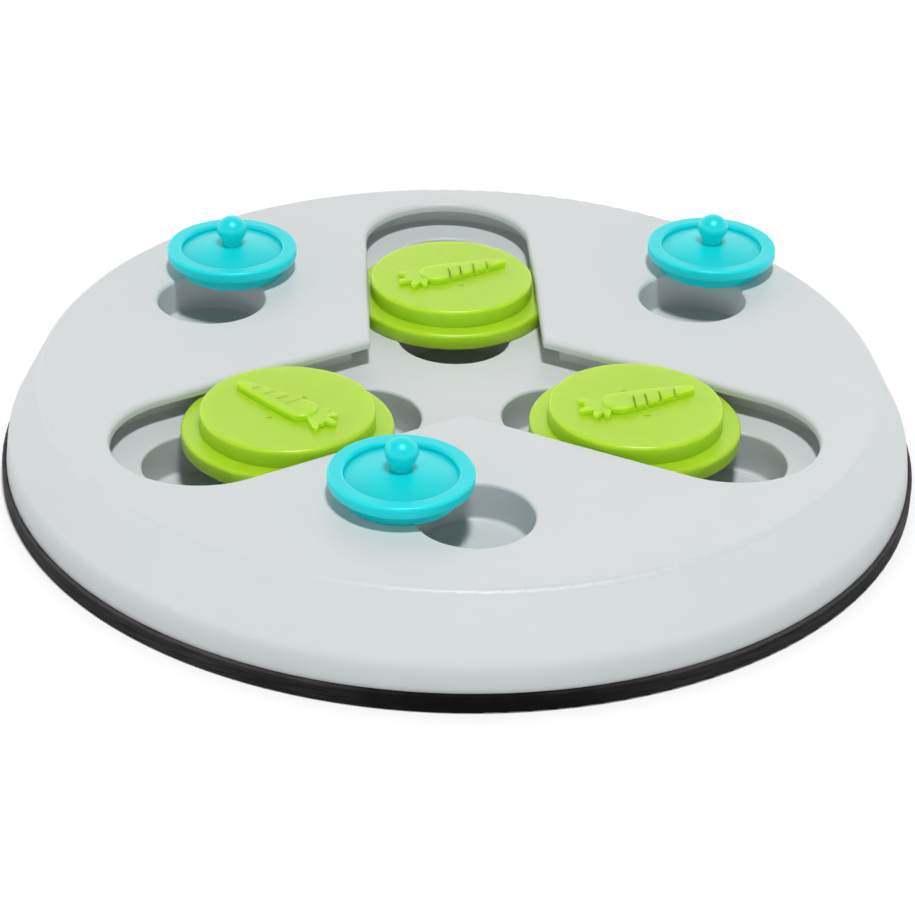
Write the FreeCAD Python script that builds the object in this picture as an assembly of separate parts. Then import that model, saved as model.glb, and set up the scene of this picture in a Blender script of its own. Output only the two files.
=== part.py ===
"""Pet puzzle board: a round treat board with three sliders in a Y-shaped slot and three loose lids.

Millimetres. The origin is on the floor at the centre of the ring, and +Z is up. The back arm of the
Y-shaped opening points along +Y, and the other two arms lie 120 degrees to each side of it.
"""
import FreeCAD, Part
import math
import os

from FreeCAD import Vector

# Anti-slip ring
RING_R = 115.0
RING_H = 4.7
RING_FLOOR = 2.0
RING_INNER_LIP = 1.8
RING_INNER_H = 4.1
RING_GAP = 0.1
RING_ROUND = 0.5

# Shell: flat plate, sloping skirt and an upright foot band
PLATE_TOP = 25.8
PLATE_T = 2.4
CREST_R = 105.2
BEND_R = 113.1
BEND_Z = 11.2
FOOT_R = 113.9
SKIRT_T = 2.2
CREST_ROUND = 2.0
BEND_ROUND = 7.0
EDGE_ROUND = 1.4
TIP_ROUND = 0.8

# Y-shaped opening and the guide walls that hang under its edges
ARM_ANGLES = {"back": 90.0, "left": 210.0, "right": 330.0}
HALF_BETWEEN_ARMS = 60.0
ARM_HALF = 22.16
ARM_END = 72.9
POCKET_HALF = 26.9
GUIDE_T = 1.8

# Treat cups of the shell, closed by the lids
LID_CUP_PITCH = 73.1
LID_CUP_R = 14.0
LID_CUP_FLOOR = 16.0
LID_CUP_WALL = 1.9
LID_CUP_ROUND = 0.9
FIELD_ANGLES = {"back_left": 150.0, "back_right": 30.0, "front": 270.0}

# Deck under the sliders, with two cups in each arm
DECK_TOP = 18.4
DECK_T = 2.0
DECK_HALF = 38.0
DECK_R = 101.8
DECK_LIP = 2.4
DECK_LIP_T = 1.6
DECK_CUP_R = 14.5
DECK_CUP_DRAFT = 0.3
DECK_CUP_FLOOR = 8.0
DECK_CUP_WALL = 1.8
DECK_CUP_ROUND = 0.8
CUP_FLOOR_ROUND = 1.0
INNER_CUP = 28.3
OUTER_CUP = 73.2
DECK_RIB_T = 1.5
DECK_RIB_DROP = 6.0

# Screws and the bosses they bite into
BOSS_R = 3.4
BOSS_AT = 78.0
BOSS_SIDE = 32.6
TIP_BOSS_AT = 42.0
TIP_PAD_R = 6.0
PILOT_R = 1.45
PILOT_TOP = 22.6
SHANK_R = 1.4
SHANK_TOP = 22.2
SCREW_HOLE_R = 1.7
HEAD_R = 2.7
HEAD_H = 1.8
RECESS_SIZE = 2.8
RECESS_W = 0.7
RECESS_DEPTH = 1.0

# Shell ribs under each field
SHELL_RIB_T = 1.6
SHELL_RIB_DROP = 4.5
SHELL_RIB_END = 103.0

# Sliders: where each one rests along its arm and aside of the arm's middle line, as photographed
SLIDER_REST = {"back": (47.0, 0.0), "left": (49.6, 0.0), "right": (48.3, 0.3)}
DISC_R = 21.45
DISC_TOP = 27.1
FLANGE_R = 26.0
FLANGE_TOP = 22.5
SLIDER_WALL = 1.8
SLIDER_SKIN = 2.0
SLIDER_ROUND = 0.8
SLIDER_FOOT_ROUND = 0.3
PIN_MARK_R = 0.75
PIN_MARK_DEPTH = 0.4
PIN_MARK_AT = 6.4

# Carrot relief on each slider, drawn with its tip towards +X before it is turned
RELIEF_SHIFT = 0.3
CARROT_TURN = {"back": 21.6, "left": 139.2, "right": 20.0}
CARROT_H = 1.85
CARROT_CROWN_X = -4.7
CARROT_CROWN_R = 4.0
CARROT_MIDDLE = (4.4, 2.95)
CARROT_TIP = (15.3, 1.0)
CARROT_TIP_BULGE = 0.6
CARROT_ROUND = 0.55
GROOVE_X = (-2.0, 1.2, 5.0, 9.0)
GROOVE_W = 0.5
GROOVE_DEPTH = 1.3
GROOVE_LEAN = 18.0
GROOVE_REACH = 5.0
LEAF_ROOT = (-8.4, 0.0)
LEAF_TIPS = ((-12.7, 4.2), (-12.3, 1.6), (-14.4, -0.3), (-12.3, -3.4), (-9.5, -4.1))
LEAF_H = 1.4
LEAF_ROOT_R = 2.0
LEAF_TIP_R = 0.75
LEAF_ROUND = 0.3

# Lids, lying beside their cups as photographed: distance and direction from the cup's axis
LID_SHIFT = {"back_left": (18.2, 73.9), "back_right": (19.5, 69.0), "front": (18.7, 152.5)}
LID_R = 17.1
LID_RIM_H = 3.0
LID_RIM_ROUND = 0.6
PLUG_R = 13.7
PLUG_H = 3.7
PLUG_WALL = 1.6
PLUG_ROUND = 0.5
DISH_R = 13.3
DISH_DEPTH = 1.3
DISH_ROUND = 0.8
DOME_RISE = 2.0
LID_SKIN = 1.6
NECK_R = 2.7
NECK_SINK = 0.4
NECK_ROUND = 1.2
BALL_R = 3.95
BALL_CROWN = 3.4
BALL_SHOULDER_R = 2.95
BALL_UP = 5.0

# How far a cutting shape reaches past the face it cuts, and how near two measures count as the same
CUT = 1.0
SAME = 0.01
NEARLY = 0.1
OFF_AXIS = 1.0
LEAST_WALL = 0.5

UP = Vector(0, 0, 1)
ORIGIN = Vector(0, 0, 0)


def polar(radius, angle, z=0.0):
    """Point at a distance and a direction, in degrees, from the board's axis."""
    turn = math.radians(angle)
    return Vector(radius * math.cos(turn), radius * math.sin(turn), z)


def cylinder(radius, z_low, z_high, at=ORIGIN):
    """Upright cylinder between two heights."""
    return Part.makeCylinder(radius, z_high - z_low, Vector(at.x, at.y, z_low))


def cone(r_low, r_high, z_low, z_high, at=ORIGIN):
    """Upright cone frustum between two heights."""
    return Part.makeCone(r_low, r_high, z_high - z_low, Vector(at.x, at.y, z_low))


def turned(shape, angle, at=ORIGIN):
    """Copy of a shape turned about an upright axis."""
    copy = shape.copy()
    copy.rotate(at, UP, angle)
    return copy


def moved(shape, to):
    """Copy of a shape moved by a vector."""
    copy = shape.copy()
    copy.translate(to)
    return copy


def revolved(points):
    """Solid of revolution about the Z axis from an outline of radius and height pairs."""
    outline = [Vector(radius, 0, z) for radius, z in points]
    wire = Part.makePolygon(outline + outline[:1])
    return Part.Face(wire).revolve(ORIGIN, UP, 360)


def curve_of(edge):
    """Curve of an edge, or nothing for a seam that has none."""
    try:
        return edge.Curve
    except TypeError:
        return None


def circle_edges(shape, radius, z, at=ORIGIN):
    """Round edges of a shape that have this radius, this height and this axis."""
    found = []
    for edge in shape.Edges:
        curve = curve_of(edge)
        if not isinstance(curve, Part.Circle):
            continue
        level = abs(curve.Center.z - z) < SAME
        centred = math.hypot(curve.Center.x - at.x, curve.Center.y - at.y) < SAME
        if level and centred and abs(curve.Radius - radius) < SAME:
            found.append(edge)
    return found


def flat_edges(shape, z):
    """Edges that lie wholly at one height."""
    found = []
    for edge in shape.Edges:
        box = edge.BoundBox
        if abs(box.ZMin - z) < SAME and abs(box.ZMax - z) < SAME:
            found.append(edge)
    return found


def upright_edges(shape, radius):
    """Straight upright edges at a distance from the board's axis."""
    found = []
    for edge in shape.Edges:
        low, high = edge.Vertexes[0].Point, edge.Vertexes[-1].Point
        upright = abs(high.z - low.z) > LEAST_WALL and math.hypot(high.x - low.x, high.y - low.y) < SAME
        if upright and abs(math.hypot(low.x, low.y) - radius) < NEARLY:
            found.append(edge)
    return found


def arm_slot(half, z_low, z_high):
    """Three arms with round ends that meet at the centre, as one Y-shaped solid."""
    height = z_high - z_low
    arms = []
    for angle in ARM_ANGLES.values():
        bar = Part.makeBox(ARM_END, 2 * half, height, Vector(0, -half, z_low))
        arms.append(turned(bar, angle))
        arms.append(cylinder(half, z_low, z_high, polar(ARM_END, angle)))
    return arms[0].multiFuse(arms[1:]).removeSplitter()


def boss_places():
    """Axes of the nine screws: one at the tip of each field and two beside each arm's end."""
    places = [polar(TIP_BOSS_AT, angle) for angle in FIELD_ANGLES.values()]
    for angle in ARM_ANGLES.values():
        for side in (-BOSS_SIDE, BOSS_SIDE):
            places.append(turned_point(BOSS_AT, side, angle))
    return places


def turned_point(along, aside, angle):
    """Point at a distance along an arm and a distance to its left."""
    turn = math.radians(angle)
    x = along * math.cos(turn) - aside * math.sin(turn)
    y = along * math.sin(turn) + aside * math.cos(turn)
    return Vector(x, y, 0)


def skirt_body():
    """Plate and skirt without any opening."""
    slope = (CREST_R - BEND_R) / (PLATE_TOP - BEND_Z)
    shift = SKIRT_T * math.hypot(1, slope)
    under = PLATE_TOP - PLATE_T
    outer = revolved([
        (0, RING_FLOOR), (FOOT_R, RING_FLOOR), (FOOT_R, RING_H),
        (BEND_R, BEND_Z), (CREST_R, PLATE_TOP), (0, PLATE_TOP),
    ])
    outer = outer.makeFillet(CREST_ROUND, circle_edges(outer, CREST_R, PLATE_TOP))
    outer = outer.makeFillet(BEND_ROUND, circle_edges(outer, BEND_R, BEND_Z))
    inner_top = CREST_R - slope * PLATE_T - shift
    inner = revolved([
        (0, RING_FLOOR - CUT), (FOOT_R - SKIRT_T, RING_FLOOR - CUT), (FOOT_R - SKIRT_T, RING_H),
        (BEND_R - shift, BEND_Z), (inner_top, under), (0, under),
    ])
    return outer.cut(inner)


def guide_walls():
    """Walls under the plate, set back from the opening's edge, that keep the flanges on their way."""
    under = PLATE_TOP - PLATE_T
    outer = arm_slot(POCKET_HALF + GUIDE_T, DECK_TOP, under + CUT)
    return outer.cut(arm_slot(POCKET_HALF, DECK_TOP - CUT, under))


def shell_ribs():
    """Two ribs from each moulded cup: one out to the skirt and one in to the screw boss."""
    under = PLATE_TOP - PLATE_T
    cup_r = LID_CUP_R + LID_CUP_WALL
    inward = (TIP_BOSS_AT + BOSS_R - CUT, LID_CUP_PITCH - cup_r + CUT)
    outward = (LID_CUP_PITCH + cup_r - CUT, SHELL_RIB_END)
    ribs = []
    for angle in FIELD_ANGLES.values():
        for start, end in (inward, outward):
            low = Vector(start, -SHELL_RIB_T / 2, under - SHELL_RIB_DROP)
            rib = Part.makeBox(end - start, SHELL_RIB_T, SHELL_RIB_DROP + CUT, low)
            ribs.append(turned(rib, angle))
    return ribs


def slot_rims(shell, cup_places):
    """Edges of the Y-shaped opening at the plate's top: those not round a cup or round the plate."""
    rims = []
    for edge in flat_edges(shell, PLATE_TOP):
        box = edge.BoundBox
        middle = Vector((box.XMin + box.XMax) / 2, (box.YMin + box.YMax) / 2, 0)
        if all(middle.distanceToPoint(at) > OFF_AXIS for at in cup_places + [ORIGIN]):
            rims.append(edge)
    return rims


def top_shell():
    """Plate, skirt, three treat cups, guide walls, ribs and screw bosses in one moulding."""
    under = PLATE_TOP - PLATE_T
    cup_places = [polar(LID_CUP_PITCH, angle) for angle in FIELD_ANGLES.values()]
    cup_r = LID_CUP_R + LID_CUP_WALL
    cup_low = LID_CUP_FLOOR - LID_CUP_WALL
    cups = [cylinder(cup_r, cup_low, under + CUT, at) for at in cup_places]
    bosses = [cylinder(BOSS_R, DECK_TOP, under + CUT, at) for at in boss_places()]
    shell = skirt_body().multiFuse(cups + bosses + shell_ribs() + [guide_walls()]).removeSplitter()
    opening = arm_slot(ARM_HALF, under - CUT, PLATE_TOP + CUT)
    tip_at = ARM_HALF / math.sin(math.radians(HALF_BETWEEN_ARMS))
    opening = opening.makeFillet(TIP_ROUND, upright_edges(opening, tip_at))
    hollows = [cylinder(LID_CUP_R, LID_CUP_FLOOR, PLATE_TOP + CUT, at) for at in cup_places]
    pilots = [cylinder(PILOT_R, DECK_TOP - CUT, PILOT_TOP, at) for at in boss_places()]
    shell = shell.cut(Part.makeCompound([opening] + hollows + pilots))
    rims = [e for at in cup_places for e in circle_edges(shell, LID_CUP_R, PLATE_TOP, at)]
    shell = shell.makeFillet(LID_CUP_ROUND, rims)
    floors = [e for at in cup_places for e in circle_edges(shell, LID_CUP_R, LID_CUP_FLOOR, at)]
    shell = shell.makeFillet(CUP_FLOOR_ROUND, floors)
    return shell.makeFillet(EDGE_ROUND, slot_rims(shell, cup_places))


def deck_outline(margin, z_low, z_high):
    """Outline of the deck, drawn in by a margin, as a slab between two heights."""
    pad_places = [polar(TIP_BOSS_AT, angle) for angle in FIELD_ANGLES.values()]
    pads = [cylinder(TIP_PAD_R - margin, z_low, z_high, at) for at in pad_places]
    slab = arm_slot(DECK_HALF - margin, z_low, z_high).multiFuse(pads)
    return slab.common(cylinder(DECK_R - margin, z_low, z_high)).removeSplitter()


def deck_cup_places():
    """Axes of the six deck cups."""
    return [polar(r, angle) for angle in ARM_ANGLES.values() for r in (INNER_CUP, OUTER_CUP)]


def deck_ribs():
    """Three ribs under each arm of the deck: from the centre, between its two cups and out to its end."""
    under = DECK_TOP - DECK_T
    cup_r = DECK_CUP_R + DECK_CUP_WALL
    centre = (0, INNER_CUP - cup_r + CUT)
    between = (INNER_CUP + cup_r - CUT, OUTER_CUP - cup_r + CUT)
    outward = (OUTER_CUP + cup_r - CUT, DECK_R - DECK_LIP_T)
    ribs = []
    for angle in ARM_ANGLES.values():
        for start, end in (centre, between, outward):
            low = Vector(start, -DECK_RIB_T / 2, under - DECK_RIB_DROP)
            rib = Part.makeBox(end - start, DECK_RIB_T, DECK_RIB_DROP + CUT, low)
            ribs.append(turned(rib, angle))
    return ribs


def slide_deck():
    """Y-shaped tray with six treat cups, a stiffening lip, ribs and screw holes."""
    under = DECK_TOP - DECK_T
    floor_r = DECK_CUP_R - DECK_CUP_DRAFT
    low = DECK_CUP_FLOOR - DECK_CUP_WALL
    places = deck_cup_places()
    deck = deck_outline(0.0, under - DECK_LIP, DECK_TOP)
    deck = deck.cut(deck_outline(DECK_LIP_T, under - DECK_LIP - CUT, under))
    cups = []
    for at in places:
        cups.append(cone(floor_r + DECK_CUP_WALL, DECK_CUP_R + DECK_CUP_WALL, low, under + CUT, at))
    deck = deck.multiFuse(cups + deck_ribs()).removeSplitter()
    hollows = [cone(floor_r, DECK_CUP_R, DECK_CUP_FLOOR, DECK_TOP, at) for at in places]
    holes = [cylinder(SCREW_HOLE_R, under - CUT, DECK_TOP + CUT, at) for at in boss_places()]
    deck = deck.cut(Part.makeCompound(hollows + holes))
    rims = [e for at in places for e in circle_edges(deck, DECK_CUP_R, DECK_TOP, at)]
    deck = deck.makeFillet(DECK_CUP_ROUND, rims)
    floors = [e for at in places for e in circle_edges(deck, floor_r, DECK_CUP_FLOOR, at)]
    return deck.makeFillet(CUP_FLOOR_ROUND, floors)


def anti_slip_ring():
    """Rubber ring with a channel that the foot of the skirt sits in."""
    outer_wall = FOOT_R + RING_GAP
    inner_wall = FOOT_R - SKIRT_T - RING_GAP
    inner = inner_wall - RING_INNER_LIP
    ring = revolved([
        (inner, 0), (RING_R, 0), (RING_R, RING_H), (outer_wall, RING_H), (outer_wall, RING_FLOOR),
        (inner_wall, RING_FLOOR), (inner_wall, RING_INNER_H), (inner, RING_INNER_H),
    ])
    edges = circle_edges(ring, RING_R, 0) + circle_edges(ring, inner, 0)
    ring = ring.makeFillet(RING_ROUND, edges)
    return ring.makeFillet(RING_ROUND, circle_edges(ring, RING_R, RING_H))


def screw(at):
    """Pan-head screw seen from below, with a cross recess in its head."""
    head_low = DECK_TOP - DECK_T - HEAD_H
    head = cylinder(HEAD_R, head_low, head_low + HEAD_H, at)
    head = head.makeFillet(HEAD_H / 2, circle_edges(head, HEAD_R, head_low, at))
    shank = cylinder(SHANK_R, head_low + HEAD_H, SHANK_TOP, at)
    solid = head.fuse(shank).removeSplitter()
    for size_x, size_y in ((RECESS_SIZE, RECESS_W), (RECESS_W, RECESS_SIZE)):
        low = Vector(at.x - size_x / 2, at.y - size_y / 2, head_low - CUT)
        solid = solid.cut(Part.makeBox(size_x, size_y, RECESS_DEPTH + CUT, low))
    return solid


def deck_screws():
    """All nine screws."""
    return Part.makeCompound([screw(at) for at in boss_places()])


def arc(start, through, end):
    """Round edge through three points."""
    return Part.Arc(start, through, end).toShape()


def carrot_root(z):
    """Tapered root of the carrot with slanting grooves on one side."""
    crown_high = Vector(CARROT_CROWN_X, CARROT_CROWN_R, z)
    crown_low = Vector(CARROT_CROWN_X, -CARROT_CROWN_R, z)
    tip_high = Vector(CARROT_TIP[0], CARROT_TIP[1], z)
    tip_low = Vector(CARROT_TIP[0], -CARROT_TIP[1], z)
    outline = Part.Wire([
        arc(crown_high, Vector(CARROT_CROWN_X - CARROT_CROWN_R, 0, z), crown_low),
        arc(crown_low, Vector(CARROT_MIDDLE[0], -CARROT_MIDDLE[1], z), tip_low),
        arc(tip_low, Vector(CARROT_TIP[0] + CARROT_TIP_BULGE, 0, z), tip_high),
        arc(tip_high, Vector(CARROT_MIDDLE[0], CARROT_MIDDLE[1], z), crown_high),
    ])
    root = Part.Face(outline).extrude(Vector(0, 0, CARROT_H))
    root = root.makeFillet(CARROT_ROUND, flat_edges(root, z + CARROT_H))
    for x in GROOVE_X:
        groove = Part.makeBox(GROOVE_W, GROOVE_REACH + CUT, GROOVE_DEPTH + CUT)
        groove.translate(Vector(-GROOVE_W / 2, -CUT, 0))
        groove.rotate(ORIGIN, UP, -GROOVE_LEAN)
        groove.translate(Vector(x, -CARROT_CROWN_R, z + CARROT_H - GROOVE_DEPTH))
        root = root.cut(groove)
    return root


def leaf(tip_xy, z):
    """One tapered leaf from the crown to its tip."""
    root, tip = Vector(*LEAF_ROOT, z), Vector(*tip_xy, z)
    along = (tip - root).normalize()
    aside = Vector(-along.y, along.x, 0)
    corners = [
        root + aside * LEAF_ROOT_R, tip + aside * LEAF_TIP_R,
        tip - aside * LEAF_TIP_R, root - aside * LEAF_ROOT_R,
    ]
    blade = Part.Face(Part.makePolygon(corners + corners[:1])).extrude(Vector(0, 0, LEAF_H))
    ends = [
        cylinder(LEAF_TIP_R, z, z + LEAF_H, tip),
        cylinder(LEAF_ROOT_R, z, z + LEAF_H, root),
    ]
    return blade.multiFuse(ends).removeSplitter()


def carrot(z):
    """Raised carrot with its leaves, on a plane at height z."""
    leaves = [leaf(tip, z) for tip in LEAF_TIPS]
    spray = leaves[0].multiFuse(leaves[1:]).removeSplitter()
    spray = spray.makeFillet(LEAF_ROUND, flat_edges(spray, z + LEAF_H))
    return carrot_root(z).fuse(spray)


def slider_blank():
    """Slider at the board's axis: disc on a wider flange, hollow from below."""
    skin_low = DISC_TOP - SLIDER_SKIN
    disc = cylinder(DISC_R, DECK_TOP, DISC_TOP)
    flange = cylinder(FLANGE_R, DECK_TOP, FLANGE_TOP)
    body = disc.fuse(flange).removeSplitter()
    rims = circle_edges(body, DISC_R, DISC_TOP) + circle_edges(body, FLANGE_R, FLANGE_TOP)
    body = body.makeFillet(SLIDER_ROUND, rims)
    body = body.makeFillet(SLIDER_FOOT_ROUND, circle_edges(body, FLANGE_R, DECK_TOP))
    under_disc = cylinder(DISC_R - SLIDER_WALL, DECK_TOP - CUT, skin_low)
    under_flange = cylinder(FLANGE_R - SLIDER_WALL, DECK_TOP - CUT, FLANGE_TOP - SLIDER_WALL)
    mark_low = DISC_TOP - PIN_MARK_DEPTH
    mark_places = [Vector(0, RELIEF_SHIFT + y, 0) for y in (-PIN_MARK_AT, PIN_MARK_AT)]
    marks = [cylinder(PIN_MARK_R, mark_low, DISC_TOP + CUT, at) for at in mark_places]
    body = body.cut(Part.makeCompound([under_disc.fuse(under_flange)] + marks))
    relief = moved(carrot(DISC_TOP), Vector(0, RELIEF_SHIFT, 0))
    return body.fuse(relief).removeSplitter()


def slider(blank, arm):
    """Slider at its photographed place along one arm."""
    along, aside = SLIDER_REST[arm]
    place = polar(along, ARM_ANGLES[arm]) + polar(aside, ARM_ANGLES[arm] + 90)
    return moved(turned(blank, CARROT_TURN[arm]), place)


def lid_blank():
    """Lid on the board's axis: ball knob, domed dish, rim and a hollow plug that stands on the plate."""
    plug_low = PLATE_TOP
    rim_low = plug_low + PLUG_H
    rim_top = rim_low + LID_RIM_H
    dish_edge = rim_top - DISH_DEPTH
    dome_r = (DISH_R ** 2 + DOME_RISE ** 2) / (2 * DOME_RISE)
    dome_centre = Vector(0, 0, dish_edge + DOME_RISE - dome_r)

    plug = cylinder(PLUG_R, plug_low, rim_low + CUT)
    rim = cylinder(LID_R, rim_low, rim_top)
    lid = plug.fuse(rim).removeSplitter()
    rims = circle_edges(lid, LID_R, rim_top) + circle_edges(lid, LID_R, rim_low)
    lid = lid.makeFillet(LID_RIM_ROUND, rims)
    lid = lid.makeFillet(PLUG_ROUND, circle_edges(lid, PLUG_R, plug_low))

    dish = cylinder(DISH_R, dish_edge, rim_top + DOME_RISE + CUT)
    lid = lid.cut(dish.cut(Part.makeSphere(dome_r, dome_centre)))
    dome = Part.makeSphere(dome_r, dome_centre)
    dome = dome.common(cylinder(DISH_R, dish_edge - CUT, rim_top + DOME_RISE))
    lid = lid.fuse(dome)
    lid = lid.makeFillet(DISH_ROUND, circle_edges(lid, DISH_R, rim_top))
    hollow = cylinder(PLUG_R - PLUG_WALL, plug_low - CUT, rim_top + DOME_RISE)
    hollow = hollow.common(Part.makeSphere(dome_r - LID_SKIN, dome_centre))
    lid = lid.cut(hollow)

    return lid.fuse(knob(dish_edge + DOME_RISE - NECK_SINK, rim_top + BALL_UP)).removeSplitter()


def arc_about(x, z, radius, start, end):
    """Arc in the XZ plane about a centre, from one angle to another in radians."""
    points = []
    for angle in (start, (start + end) / 2, end):
        points.append(Vector(x + radius * math.cos(angle), 0, z + radius * math.sin(angle)))
    return arc(*points)


def knob(z_foot, z_ball):
    """Ball with a slightly flattened crown on a short neck, turned about the Z axis."""
    lean = math.acos(NECK_R / BALL_R)
    shoulder_x = BALL_R - BALL_SHOULDER_R
    spare = BALL_CROWN - BALL_SHOULDER_R
    cap_drop = (shoulder_x ** 2 - spare ** 2) / (2 * spare)
    cap_start = math.atan2(cap_drop, shoulder_x)
    z_neck = z_ball - BALL_R * math.sin(lean)

    axis_foot = Vector(0, 0, z_foot)
    foot = Vector(NECK_R, 0, z_foot)
    edges = [
        Part.LineSegment(axis_foot, foot).toShape(),
        Part.LineSegment(foot, Vector(NECK_R, 0, z_neck)).toShape(),
        arc_about(0, z_ball, BALL_R, -lean, 0),
        arc_about(shoulder_x, z_ball, BALL_SHOULDER_R, 0, cap_start),
        arc_about(0, z_ball - cap_drop, BALL_CROWN + cap_drop, cap_start, math.pi / 2),
        Part.LineSegment(Vector(0, 0, z_ball + BALL_CROWN), axis_foot).toShape(),
    ]
    ball = Part.Face(Part.Wire(edges)).revolve(ORIGIN, Vector(0, 0, 1), 360)
    return ball.makeFillet(NECK_ROUND, circle_edges(ball, NECK_R, z_neck))


def lid(blank, field):
    """Lid at its photographed place beside its cup."""
    distance, direction = LID_SHIFT[field]
    return moved(blank, polar(LID_CUP_PITCH, FIELD_ANGLES[field]) + polar(distance, direction))


def write(name, shape):
    """Write one piece and print what it measures."""
    shape.exportStep("parts/%s.step" % name)
    box = shape.BoundBox
    size = (box.XLength, box.YLength, box.ZLength)
    facts = (name, len(shape.Solids), shape.isValid(), shape.Volume)
    print("%-16s solids %d valid %s volume %.0f size %.1f x %.1f x %.1f" % (facts + size))


def main():
    """Build and write every piece."""
    os.makedirs("parts", exist_ok=True)
    write("top_shell", top_shell())
    write("slide_deck", slide_deck())
    write("anti_slip_ring", anti_slip_ring())
    write("deck_screws", deck_screws())
    blank = slider_blank()
    for arm in ARM_ANGLES:
        write("slider_%s" % arm, slider(blank, arm))
    blank = lid_blank()
    for field in FIELD_ANGLES:
        write("lid_%s" % field, lid(blank, field))


main()
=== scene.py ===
"""Looks of the pet puzzle board: camera, light, floor, materials and shading of its CAD nodes."""
import math

import bpy
import numpy as np
from mathutils import Matrix, Vector

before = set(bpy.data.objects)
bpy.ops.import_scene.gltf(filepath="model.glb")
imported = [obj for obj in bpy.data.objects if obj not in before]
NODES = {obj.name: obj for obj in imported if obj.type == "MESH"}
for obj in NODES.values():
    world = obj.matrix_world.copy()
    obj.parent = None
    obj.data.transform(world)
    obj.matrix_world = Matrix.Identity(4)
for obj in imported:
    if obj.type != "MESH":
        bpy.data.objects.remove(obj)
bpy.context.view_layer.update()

# Camera, from a fit to the photograph's edges (metres and degrees)
CAMERA_AT = (-0.03550, -0.60151, 0.34813)
CAMERA_PITCH_UP = 0.039
CAMERA_ROLL = 1.415
CAMERA_REACH = 20.0
LENS_MM = 106.9
SENSOR_MM = 36.0

# Key light: one round softbox, nearly overhead
KEY_TOWARDS = (0.05, -0.22, 1.0)
KEY_DISTANCE = 1.6
KEY_SIZE = 0.26
KEY_WATTS = 20.2
KEY_COLOUR = (1.0, 0.947, 0.947)

# Surroundings: the brightness on each side, at heights from the horizon (0) to straight up (1).
# The colour ramps hold it as a share of SKY_FULL, and LEVEL_LEAST keeps a division from zero.
SKY_COLOUR = (1.11, 1.0, 1.0)
SKY_FULL = 4.0
SKY_HEIGHTS = (0.0, 0.25, 0.5, 0.75, 1.0)
SKY = {
    "right": (0.6, 1.25, 0.15, 0.1, 0.0),
    "left": (0.8, 1.9, 0.25, 0.05, 0.0),
    "back": (1.8, 1.0, 1.3, 0.4, 0.0),
    "front": (1.5, 1.25, 0.4, 0.1, 0.0),
}
LEVEL_LEAST = 1e-6

# Floor: each glow is a distance from the board's centre and the emission strength there
FLOOR_HALF = 4.0
FLOOR_WHITE = (0.86, 0.91, 0.91)
FLOOR_ROUGH = 0.9
FLOOR_GLOW_NEAR = (0.15, 0.06)
FLOOR_GLOW_FAR = (1.2, 0.75)

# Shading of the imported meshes
WELD = 1e-6
CREASE_DEG = 32.0
NORMALS_WEIGHT = 80

# Plastics and steel. drift is the share that the colour varies by, rough the least and most
# roughness, grain the scale of the mould's grain and depth its depth. gloss and tint are the
# highlight's strength and colour. glow is how far light gets into the plastic. The foot entry is
# painted shade on the lowest band: below its first height the colour is darkened by its third
# number, and not above its second height.
SHELL = {
    "colour": (0.545, 0.612, 0.617), "drift": 0.012, "rough": (0.38, 0.46),
    "grain": 2600.0, "depth": 0.000012, "gloss": 0.45, "painted_foot_shade": (0.008, 0.0125, 0.89),
}
DECK = {
    "colour": (0.555, 0.622, 0.63), "drift": 0.015, "rough": (0.36, 0.46),
    "grain": 2600.0, "depth": 0.000012, "gloss": 0.45,
}
GREEN = {
    "colour": (0.368, 0.655, 0.016), "drift": 0.02, "rough": (0.28, 0.36),
    "grain": 3200.0, "depth": 0.000003, "tint": (0.9, 1, 0.95), "glow": 0.006,
}
TURQUOISE = {
    "colour": (0.0, 0.63, 0.665), "drift": 0.02, "rough": (0.34, 0.44),
    "grain": 1500.0, "depth": 0.000002, "gloss": 1.0, "tint": (0.33, 0.95, 1), "glow": 0.003,
}
ZINC = {
    "colour": (0.62, 0.62, 0.63), "drift": 0.06, "rough": (0.25, 0.4),
    "grain": 4000.0, "depth": 0.000006, "metal": 1.0,
}

# Noises of the plastics, and the range that most of a noise's values lie in
NOISE_LOW, NOISE_HIGH = 0.3, 0.7
CLOUDS = {"Scale": 32.0, "Detail": 4.0, "Roughness": 0.55}
SMEARS = {"Scale": 75.0, "Detail": 5.0, "Roughness": 0.6, "Distortion": 0.4}
GRIT = {"Detail": 3.0, "Roughness": 0.6}
WAVES = {"Scale": 60.0, "Detail": 1.0}
WAVE_DEPTH = 0.00006

# Rubber of the ring. Rows of four turn the first two values into the last two.
RUBBER = (0.002, 0.002, 0.0022)
RUBBER_GLOSS = 0.05
RUBBER_ROUGH = (0.5, 0.75)
RUBBER_DEPTH = 0.00003
# The dust colour also serves for the painted sheen at the sides and the painted highlight on the
# upper edge.
DUST_AND_SHEEN = (0.0255, 0.027, 0.028)
DUST_AND_SHEEN_FULL = 2.0
# Painted sheen: the rubber turns lighter towards its left and right sides, with a ragged edge
# from these clouds, which also vary its roughness.
RUBBER_CLOUDS = {"Scale": 60.0, "Detail": 3.0}
SHEEN_RAGGED = 0.06
PAINTED_SHEEN_BY_SIDE = (0.045, 0.09, 0.06, 1.0)
STREAKS = {"Scale": 90.0, "Detail": 4.0, "Roughness": 0.65}
STREAK_SQUEEZE = (1.0, 1.0, 40.0)
DUST_BY_STREAK = (0.35, 0.65, 0.1, 1.3)
# Painted highlight: a thin light line along the ring's upper outer edge.
PAINTED_HIGHLIGHT_BY_HEIGHT = (0.0041, 0.0044, 0.0, 1.2)
PAINTED_HIGHLIGHT_BY_RADIUS = (0.1141, 0.1146, 0.0, 1.0)


def turned(first, second, degrees):
    """Two square axes, the first turned towards the second and the second away from the first."""
    c, s = math.cos(math.radians(degrees)), math.sin(math.radians(degrees))
    return c * first + s * second, c * second - s * first


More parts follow.
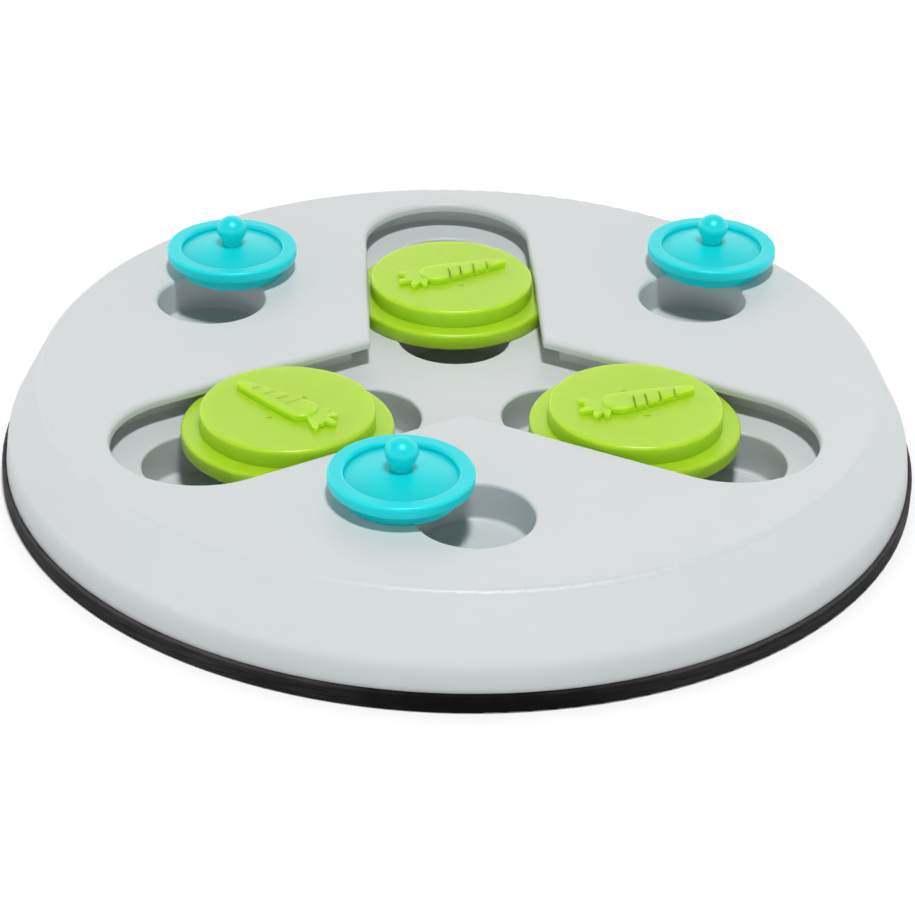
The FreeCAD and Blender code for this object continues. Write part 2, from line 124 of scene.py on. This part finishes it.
def place_camera():
    """Camera that looks at the frame's origin, tilted and rolled by the fitted angles."""
    data = bpy.data.cameras.new("camera")
    data.lens = LENS_MM
    data.sensor_width = SENSOR_MM
    data.sensor_fit = "HORIZONTAL"
    data.clip_end = CAMERA_REACH
    camera = bpy.data.objects.new("camera", data)
    bpy.context.scene.collection.objects.link(camera)
    at = Vector(CAMERA_AT)
    ahead = -at.normalized()
    right = ahead.cross(Vector((0, 0, 1))).normalized()
    up = right.cross(ahead)
    ahead, up = turned(ahead, up, CAMERA_PITCH_UP)
    right, up = turned(right, up, CAMERA_ROLL)
    rows = [(right[i], up[i], -ahead[i], at[i]) for i in range(3)]
    camera.matrix_world = Matrix(rows + [(0, 0, 0, 1)])
    bpy.context.scene.camera = camera


def key_light():
    """Softbox nearly overhead."""
    data = bpy.data.lights.new("key", "AREA")
    data.shape = "DISK"
    data.size = KEY_SIZE
    data.energy = KEY_WATTS
    data.color = KEY_COLOUR
    light = bpy.data.objects.new("key", data)
    bpy.context.scene.collection.objects.link(light)
    at = Vector(KEY_TOWARDS).normalized() * KEY_DISTANCE
    light.location = at
    light.rotation_euler = (-at).to_track_quat("-Z", "Y").to_euler()


def shader(owner, kind, inputs=None, **settings):
    """New node of a material or world, with its settings and the values of its sockets."""
    node = owner.node_tree.nodes.new(kind)
    for name, value in settings.items():
        setattr(node, name, value)
    for name, value in (inputs or {}).items():
        node.inputs[name].default_value = value
    return node


def join(owner, source, target):
    """Link two sockets, each given as (node, name or number)."""
    owner.node_tree.links.new(source[0].outputs[source[1]], target[0].inputs[target[1]])


def maths(owner, kind, a, b):
    """Math node on two sockets or numbers."""
    node = shader(owner, "ShaderNodeMath", operation=kind)
    for i, value in enumerate((a, b)):
        if isinstance(value, tuple):
            join(owner, value, (node, i))
        else:
            node.inputs[i].default_value = value
    return (node, 0)


def noise(owner, place, values):
    """Noise texture on coordinates."""
    node = shader(owner, "ShaderNodeTexNoise", values)
    join(owner, place, (node, "Vector"))
    return (node, "Fac")


def spread(owner, source, low, high, start, end):
    """Map Range node that turns low to high into start to end."""
    values = {"From Min": low, "From Max": high, "To Min": start, "To Max": end}
    node = shader(owner, "ShaderNodeMapRange", values)
    join(owner, source, (node, "Value"))
    return (node, "Result")


def bump(owner, source, depth):
    """Bump node of a depth in metres."""
    node = shader(owner, "ShaderNodeBump", {"Strength": 1.0, "Distance": depth})
    join(owner, source, (node, "Height"))
    return node


def distance(owner, place):
    """Distance from the board's centre."""
    node = shader(owner, "ShaderNodeVectorMath", operation="LENGTH")
    join(owner, place, (node, "Vector"))
    return (node, "Value")


def axes(owner, place):
    """Node that splits coordinates into X, Y and Z."""
    node = shader(owner, "ShaderNodeSeparateXYZ")
    join(owner, place, (node, "Vector"))
    return node


def grade(owner, stops):
    """Colour ramp with grey values at the given places."""
    node = shader(owner, "ShaderNodeValToRGB")
    ramp = node.color_ramp
    while len(ramp.elements) < len(stops):
        ramp.elements.new(0.5)
    for element, (place, value) in zip(ramp.elements, stops):
        element.position = place
        element.color = (value, value, value, 1)
    return node


def surroundings():
    """World whose brightness follows the height and the compass direction."""
    world = bpy.data.worlds.new("surroundings")
    bpy.context.scene.world = world
    world.use_nodes = True
    back = world.node_tree.nodes["Background"]
    back.inputs["Color"].default_value = (*SKY_COLOUR, 1)
    parts = axes(world, (shader(world, "ShaderNodeTexCoord"), "Generated"))
    x, y, z = (parts, "X"), (parts, "Y"), (parts, "Z")
    level = maths(world, "SUBTRACT", 1.0, maths(world, "MULTIPLY", z, z))
    level = maths(world, "MAXIMUM", level, LEVEL_LEAST)
    total = None
    for name, axis, sign in (("right", x, 1.0), ("left", x, -1.0),
                             ("back", y, 1.0), ("front", y, -1.0)):
        along = maths(world, "MAXIMUM", maths(world, "MULTIPLY", axis, sign), 0.0)
        weight = maths(world, "DIVIDE", maths(world, "MULTIPLY", along, along), level)
        ramp = grade(world, list(zip(SKY_HEIGHTS, [v / SKY_FULL for v in SKY[name]])))
        join(world, z, (ramp, "Fac"))
        share = maths(world, "MULTIPLY", weight, (ramp, "Color"))
        total = share if total is None else maths(world, "ADD", total, share)
    join(world, maths(world, "MULTIPLY", total, SKY_FULL), (back, "Strength"))


def principled(name, values):
    """New material with its shader, and the values of the shader's sockets."""
    mat = bpy.data.materials.new(name)
    mat.use_nodes = True
    body = mat.node_tree.nodes["Principled BSDF"]
    for socket, value in values.items():
        body.inputs[socket].default_value = value
    return mat, body


def plastic(name, colour, drift, rough, grain, depth,
            gloss=0.5, tint=None, glow=0.0, painted_foot_shade=None, metal=0.0):
    """Plastic or metal: slight drift of its colour and sheen, fine grain and shallow waves."""
    values = {"Specular IOR Level": gloss, "Metallic": metal}
    if tint:
        values["Specular Tint"] = (*tint, 1)
    if glow:
        values["Subsurface Weight"] = 1.0
        values["Subsurface Radius"] = (1.0, 1.0, 1.0)
        values["Subsurface Scale"] = glow
    mat, body = principled(name, values)
    place = (shader(mat, "ShaderNodeTexCoord"), "Object")

    clouds = noise(mat, place, CLOUDS)
    hue = shader(mat, "ShaderNodeValToRGB")
    low, high = hue.color_ramp.elements
    low.position, high.position = NOISE_LOW, NOISE_HIGH
    low.color = (*[c * (1 - drift) for c in colour], 1)
    high.color = (*[min(1, c * (1 + drift)) for c in colour], 1)
    join(mat, clouds, (hue, "Fac"))
    shown = (hue, "Color")
    # Painted shade: the colour darkens towards the bottom of the skirt.
    if painted_foot_shade:
        bottom, top, tone = painted_foot_shade
        fade = spread(mat, (axes(mat, place), "Z"), bottom, top, tone, 1.0)
        toned = shader(mat, "ShaderNodeVectorMath", operation="SCALE")
        join(mat, shown, (toned, "Vector"))
        join(mat, fade, (toned, "Scale"))
        shown = (toned, "Vector")
    join(mat, shown, (body, "Base Color"))

    smears = noise(mat, place, SMEARS)
    join(mat, spread(mat, smears, NOISE_LOW, NOISE_HIGH, *rough), (body, "Roughness"))

    grit = noise(mat, place, {"Scale": grain, **GRIT})
    waves = noise(mat, place, WAVES)
    relief = bump(mat, grit, depth)
    sink = bump(mat, waves, WAVE_DEPTH)
    join(mat, (relief, "Normal"), (sink, "Normal"))
    join(mat, (sink, "Normal"), (body, "Normal"))
    return mat


def rubber(name):
    """Black rubber: dust streaks and a painted top-edge highlight, as painted sheen at its sides.
    """
    mat, body = principled(name, {"Specular IOR Level": RUBBER_GLOSS})
    place = (shader(mat, "ShaderNodeTexCoord"), "Object")
    parts = axes(mat, place)

    # Painted sheen: lighter towards the ring's left and right sides, with a ragged edge.
    clouds = noise(mat, place, RUBBER_CLOUDS)
    aside = maths(mat, "ABSOLUTE", (parts, "X"), 0.0)
    ragged = maths(mat, "ADD", aside, maths(mat, "MULTIPLY", clouds, SHEEN_RAGGED))
    painted_side_sheen = spread(mat, ragged, *PAINTED_SHEEN_BY_SIDE)

    lay = shader(mat, "ShaderNodeMapping", {"Scale": STREAK_SQUEEZE})
    join(mat, place, (lay, "Vector"))
    streaks = noise(mat, (lay, "Vector"), STREAKS)
    lines = spread(mat, streaks, *DUST_BY_STREAK)
    # Painted highlight along the ring's upper outer edge.
    top = spread(mat, (parts, "Z"), *PAINTED_HIGHLIGHT_BY_HEIGHT)
    rim = spread(mat, distance(mat, place), *PAINTED_HIGHLIGHT_BY_RADIUS)
    painted_edge_highlight = maths(mat, "MULTIPLY", top, rim)

    # Dust streaks and the painted highlight, shown only where the painted sheen lies.
    dust_and_sheen = maths(mat, "MULTIPLY", painted_side_sheen, maths(mat, "ADD", lines, painted_edge_highlight))
    cover = shader(mat, "ShaderNodeValToRGB")
    clean, dust_and_sheen_stop = cover.color_ramp.elements
    clean.color, dust_and_sheen_stop.color = (*RUBBER, 1), (*[DUST_AND_SHEEN_FULL * c for c in DUST_AND_SHEEN], 1)
    join(mat, maths(mat, "MULTIPLY", dust_and_sheen, 1 / DUST_AND_SHEEN_FULL), (cover, "Fac"))
    join(mat, (cover, "Color"), (body, "Base Color"))

    join(mat, spread(mat, clouds, NOISE_LOW, NOISE_HIGH, *RUBBER_ROUGH), (body, "Roughness"))
    join(mat, (bump(mat, streaks, RUBBER_DEPTH), "Normal"), (body, "Normal"))
    return mat


def paint(start, mat):
    """Give the CAD nodes whose names start so a material."""
    for name, obj in NODES.items():
        if name.startswith(start):
            obj.data.materials.clear()
            obj.data.materials.append(mat)


def shade(obj):
    """Smooth shading with crisp creases: shared corners are joined, and flat faces stay flat."""
    mesh = obj.data
    mesh.polygons.foreach_set("use_smooth", np.ones(len(mesh.polygons), dtype=bool))
    weld = obj.modifiers.new("weld", "WELD")
    weld.merge_threshold = WELD
    crease = obj.modifiers.new("crease", "EDGE_SPLIT")
    crease.split_angle = math.radians(CREASE_DEG)
    normals = obj.modifiers.new("normals", "WEIGHTED_NORMAL")
    normals.mode = "FACE_AREA"
    normals.weight = NORMALS_WEIGHT


def studio_floor():
    """Plain white floor that glows more where the softbox's light thins out, so it stays even."""
    mesh = bpy.data.meshes.new("floor")
    h = FLOOR_HALF
    mesh.from_pydata([(-h, -h, 0), (h, -h, 0), (h, h, 0), (-h, h, 0)], [], [(0, 1, 2, 3)])
    floor = bpy.data.objects.new("floor", mesh)
    bpy.context.scene.collection.objects.link(floor)
    mat, body = principled("floor", {
        "Base Color": (*FLOOR_WHITE, 1), "Roughness": FLOOR_ROUGH,
        "Specular IOR Level": 0.0, "Emission Color": (1, 1, 1, 1),
    })
    away = distance(mat, (shader(mat, "ShaderNodeTexCoord"), "Object"))
    (near, faint), (far, strong) = FLOOR_GLOW_NEAR, FLOOR_GLOW_FAR
    join(mat, spread(mat, away, near, far, faint, strong), (body, "Emission Strength"))
    mesh.materials.append(mat)


def dress():
    """Materials and shading of every CAD node."""
    paint("top_shell", plastic("shell_plastic", **SHELL))
    paint("slide_deck", plastic("deck_plastic", **DECK))
    paint("slider_", plastic("slider_plastic", **GREEN))
    paint("lid_", plastic("lid_plastic", **TURQUOISE))
    paint("anti_slip_ring", rubber("ring_rubber"))
    paint("deck_screws", plastic("screw_steel", **ZINC))
    for obj in NODES.values():
        shade(obj)


dress()
studio_floor()
place_camera()
key_light()
surroundings()
bpy.context.scene.view_settings.view_transform = "Standard"
